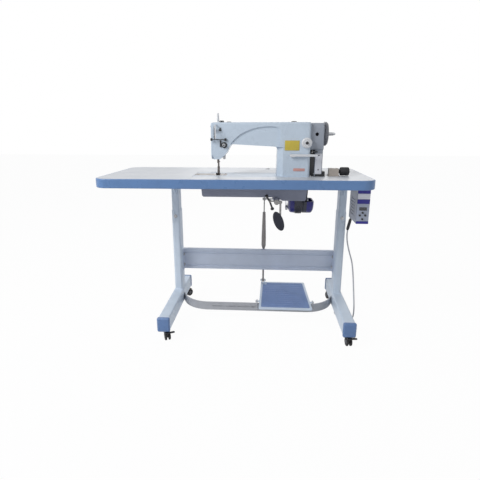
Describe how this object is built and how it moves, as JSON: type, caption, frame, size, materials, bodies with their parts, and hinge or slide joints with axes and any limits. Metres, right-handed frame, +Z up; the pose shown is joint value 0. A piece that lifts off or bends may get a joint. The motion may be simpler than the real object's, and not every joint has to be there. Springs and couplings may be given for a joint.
{
  "type": "industrial sewing machine",
  "caption": "Industrial lockstitch sewing machine on a table with treadle, knee lifter, belt drive motor, control box and a stand on casters.",
  "frame": {"origin": "floor, under the middle of the machine's outline without the mains lead", "axes": "+Z up, +X along the table to the handwheel's end, +Y away from the sewer"},
  "size_m": [1.215, 0.5949, 1.043],
  "materials": {
    "head_paint": "satin",
    "cover_grey": "satin",
    "bright_steel": "polished",
    "black_metal": "satin",
    "black_plastic": "matte",
    "pale_plastic": "satin",
    "stand_grey": "satin",
    "blue_plastic": "satin",
    "board": "satin",
    "edge_blue": "satin",
    "motor_navy": "satin",
    "rubber": "matte",
    "case_navy": "satin",
    "pan_grey": "satin",
    "lead_grey": "matte"
  },
  "bodies": {
    "stand": {"left_leg_base": "stand_grey", "right_leg_base": "stand_grey", "cross_beam": "stand_grey", "treadle_bar": "stand_grey", "foot_end_caps": "blue_plastic", "lead_coil": "lead_grey", "lead_plug": "black_plastic"},
    "table": {"table_board": "board", "table_edge_band": "edge_blue", "left_upper_leg": "stand_grey", "right_upper_leg": "stand_grey", "oil_pan": "pan_grey", "motor_housing": "motor_navy", "drive_belt": "rubber", "control_box": "case_navy", "winder_base": "pale_plastic", "mains_lead": "lead_grey", "lead_gland": "black_plastic", "lead_coupler": "black_plastic"},
    "treadle": {"treadle_frame": "stand_grey", "treadle_mat": "rubber"},
    "pitman": {"pitman_tube": "stand_grey"},
    "speed_lever": {"speed_lever": "bright_steel"},
    "pitman_upper": {"pitman_rod": "bright_steel"},
    "motor_rotor": {"motor_pulley": "black_metal"},
    "knee_lifter": {"knee_lever": "bright_steel", "knee_pad": "rubber"},
    "winder": {"winder_wheel": "rubber"},
    "head": {"bed": "head_paint", "arm": "head_paint", "face_plate": "head_paint", "throat_plates": "bright_steel", "belt_cover": "cover_grey", "thread_guides": "black_metal"},
    "arm_shaft": {"main_shaft": "bright_steel", "handwheel": "black_metal"},
    "needle_bar": {"needle_bar": "bright_steel"},
    "presser": {"presser_bar": "bright_steel"},
    "take_up": {"take_up_lever": "bright_steel"},
    "hook": {"hook_shaft": "bright_steel"},
    "feed": {"feed_dog": "bright_steel"},
    "stitch_dial": {"stitch_dial": "pale_plastic"},
    "reverse_lever": {"reverse_lever": "bright_steel"},
    "tension_nut": {"tension_nut": "bright_steel"},
    "pressure_screw": {"pressure_screw": "bright_steel"},
    "hand_lifter": {"hand_lifter": "bright_steel"},
    "upper_key": {"control_upper_key": "black_plastic"},
    "left_key": {"control_left_key": "black_plastic"},
    "right_key": {"control_right_key": "black_plastic"},
    "lower_key": {"control_lower_key": "black_plastic"},
    "front_left_caster": {"front_left_caster_fork": "black_plastic"},
    "front_left_wheels": {"front_left_caster_wheels": "rubber"},
    "front_left_brake": {"front_left_caster_brake": "black_plastic"},
    "front_right_caster": {"front_right_caster_fork": "black_plastic"},
    "front_right_wheels": {"front_right_caster_wheels": "rubber"},
    "front_right_brake": {"front_right_caster_brake": "black_plastic"},
    "rear_left_caster": {"rear_left_caster_fork": "black_plastic"},
    "rear_left_wheels": {"rear_left_caster_wheels": "rubber"},
    "rear_right_caster": {"rear_right_caster_fork": "black_plastic"},
    "rear_right_wheels": {"rear_right_caster_wheels": "rubber"}
  },
  "joints": [
    {"name": "table_height", "type": "slide", "parent": "stand", "child": "table", "axis": [0, 0, 1], "range_m": [0, 0.1], "deforming": ["mains_lead"]},
    {"name": "front_left_swivel", "type": "hinge", "parent": "stand", "child": "front_left_caster", "pos_m": [-0.327, -0.238, 0.06], "axis": [0, 0, 1], "continuous": true},
    {"name": "front_left_roll", "type": "hinge", "parent": "front_left_caster", "child": "front_left_wheels", "pos_m": [-0.31643, -0.26175, 0.021], "axis": [0.9135, 0.4067, 0], "continuous": true},
    {"name": "front_left_brake_press", "type": "hinge", "parent": "front_left_caster", "child": "front_left_brake", "pos_m": [-0.31195, -0.2718, 0.0428], "axis": [0.9135, 0.4067, 0], "range_deg": [0, 12]},
    {"name": "front_right_swivel", "type": "hinge", "parent": "stand", "child": "front_right_caster", "pos_m": [0.535, -0.238, 0.06], "axis": [0, 0, 1], "continuous": true},
    {"name": "front_right_roll", "type": "hinge", "parent": "front_right_caster", "child": "front_right_wheels", "pos_m": [0.53772, -0.26386, 0.021], "axis": [0.9945, 0.1045, 0], "continuous": true},
    {"name": "front_right_brake_press", "type": "hinge", "parent": "front_right_caster", "child": "front_right_brake", "pos_m": [0.53887, -0.2748, 0.0428], "axis": [0.9945, 0.1045, 0], "range_deg": [0, 12]},
    {"name": "rear_left_swivel", "type": "hinge", "parent": "stand", "child": "rear_left_caster", "pos_m": [-0.327, 0.25, 0.06], "axis": [0, 0, 1], "continuous": true},
    {"name": "rear_left_roll", "type": "hinge", "parent": "rear_left_caster", "child": "rear_left_wheels", "pos_m": [-0.31135, 0.27076, 0.021], "axis": [-0.7986, 0.6018, 0], "continuous": true},
    {"name": "rear_right_swivel", "type": "hinge", "parent": "stand", "child": "rear_right_caster", "pos_m": [0.535, 0.25, 0.06], "axis": [0, 0, 1], "continuous": true},
    {"name": "rear_right_roll", "type": "hinge", "parent": "rear_right_caster", "child": "rear_right_wheels", "pos_m": [0.5274, 0.27486, 0.021], "axis": [-0.9563, -0.2924, 0], "continuous": true},
    {"name": "treadle_rock", "type": "hinge", "parent": "stand", "child": "treadle", "pos_m": [0.25, -0.03, 0.107], "axis": [-1, 0, 0], "range_deg": [-6, 12], "stiffness_Nm_per_rad": 20, "springref_deg": -6.88},
    {"name": "pitman_pivot", "type": "hinge", "parent": "treadle", "child": "pitman", "pos_m": [0.136, 0.175, 0.147], "axis": [-1, 0, 0], "range_deg": [-13, 7]},
    {"name": "speed_lever_turn", "type": "hinge", "parent": "table", "child": "speed_lever", "pos_m": [0.25, 0.0725, 0.587], "axis": [-1, 0, 0], "range_deg": [-13, 25]},
    {"name": "pitman_rod_pivot", "type": "hinge", "parent": "speed_lever", "child": "pitman_upper", "pos_m": [0.136, 0.175, 0.612], "axis": [-1, 0, 0], "range_deg": [-25, 13]},
    {"name": "motor_turn", "type": "hinge", "parent": "table", "child": "motor_rotor", "pos_m": [0.343, 0.06, 0.626], "axis": [1, 0, 0], "range_deg": [0, 250]},
    {"name": "knee_lift", "type": "hinge", "parent": "table", "child": "knee_lifter", "pos_m": [0.19, -0.18, 0.664], "axis": [0, -1, 0], "range_deg": [0, 18], "stiffness_Nm_per_rad": 2, "springref_deg": -11.46},
    {"name": "presser_lift", "type": "slide", "parent": "head", "child": "presser", "axis": [0, 0, 1], "range_m": [0, 0.013]},
    {"name": "head_tilt", "type": "hinge", "parent": "table", "child": "head", "pos_m": [0.07, 0.008, 0.766], "axis": [-1, 0, 0], "range_deg": [0, 55], "deforming": ["drive_belt"]},
    {"name": "shaft_turn", "type": "hinge", "parent": "head", "child": "arm_shaft", "pos_m": [0.1, -0.089, 0.953], "axis": [1, 0, 0], "range_deg": [0, 180]},
    {"name": "needle_stroke", "type": "slide", "parent": "head", "child": "needle_bar", "axis": [0, 0, -1], "range_m": [0, 0.0307]},
    {"name": "take_up_swing", "type": "hinge", "parent": "head", "child": "take_up", "pos_m": [-0.089, -0.116, 0.945], "axis": [1, 0, 0], "range_deg": [0, 60]},
    {"name": "hook_turn", "type": "hinge", "parent": "head", "child": "hook", "pos_m": [0.1, -0.089, 0.738], "axis": [1, 0, 0], "range_deg": [0, 360]},
    {"name": "feed_stroke", "type": "slide", "parent": "head", "child": "feed", "axis": [0, 1, 0], "range_m": [0, 0.004]},
    {"name": "stitch_dial_turn", "type": "hinge", "parent": "head", "child": "stitch_dial", "pos_m": [0.315, -0.175, 0.916], "axis": [0, -1, 0], "range_deg": [-150, 150]},
    {"name": "reverse_press", "type": "hinge", "parent": "head", "child": "reverse_lever", "pos_m": [0.322, -0.178, 0.863], "axis": [0, -1, 0], "range_deg": [0, 15], "stiffness_Nm_per_rad": 1, "springref_deg": -17.19},
    {"name": "tension_turn", "type": "hinge", "parent": "head", "child": "tension_nut", "pos_m": [-0.046, -0.158, 0.905], "axis": [0, -1, 0], "range_deg": [-180, 180]},
    {"name": "pressure_screw_turn", "type": "hinge", "parent": "head", "child": "pressure_screw", "pos_m": [-0.08, -0.072, 1.01], "axis": [0, 0, 1], "range_deg": [-180, 180]},
    {"name": "hand_lifter_turn", "type": "hinge", "parent": "head", "child": "hand_lifter", "pos_m": [-0.042, -0.045, 0.905], "axis": [0, -1, 0], "range_deg": [0, 60]},
    {"name": "winder_spin", "type": "hinge", "parent": "table", "child": "winder", "pos_m": [0.49, -0.109, 0.79], "axis": [1, 0, 0], "continuous": true},
    {"name": "upper_key_press", "type": "slide", "parent": "table", "child": "upper_key", "axis": [0, 1, 0], "range_m": [0, 0.0015], "stiffness_N_per_m": 300},
    {"name": "left_key_press", "type": "slide", "parent": "table", "child": "left_key", "axis": [0, 1, 0], "range_m": [0, 0.0015], "stiffness_N_per_m": 300},
    {"name": "right_key_press", "type": "slide", "parent": "table", "child": "right_key", "axis": [0, 1, 0], "range_m": [0, 0.0015], "stiffness_N_per_m": 300},
    {"name": "lower_key_press", "type": "slide", "parent": "table", "child": "lower_key", "axis": [0, 1, 0], "range_m": [0, 0.0015], "stiffness_N_per_m": 300}
  ],
  "couplings": [
    {"joint": "pitman_pivot", "follows": "treadle_rock", "ratio": -1},
    {"joint": "speed_lever_turn", "follows": "treadle_rock", "ratio": 2},
    {"joint": "pitman_rod_pivot", "follows": "treadle_rock", "ratio": -2},
    {"joint": "motor_turn", "follows": "shaft_turn", "ratio": 1.375},
    {"joint": "needle_stroke", "follows": "shaft_turn", "m_per_rad": 0.00977},
    {"joint": "take_up_swing", "follows": "shaft_turn", "ratio": 0.333},
    {"joint": "hook_turn", "follows": "shaft_turn", "ratio": 2},
    {"joint": "feed_stroke", "follows": "shaft_turn", "m_per_rad": 0.00127},
    {"joint": "presser_lift", "follows": "knee_lift", "m_per_rad": 0.0412}
  ]
}
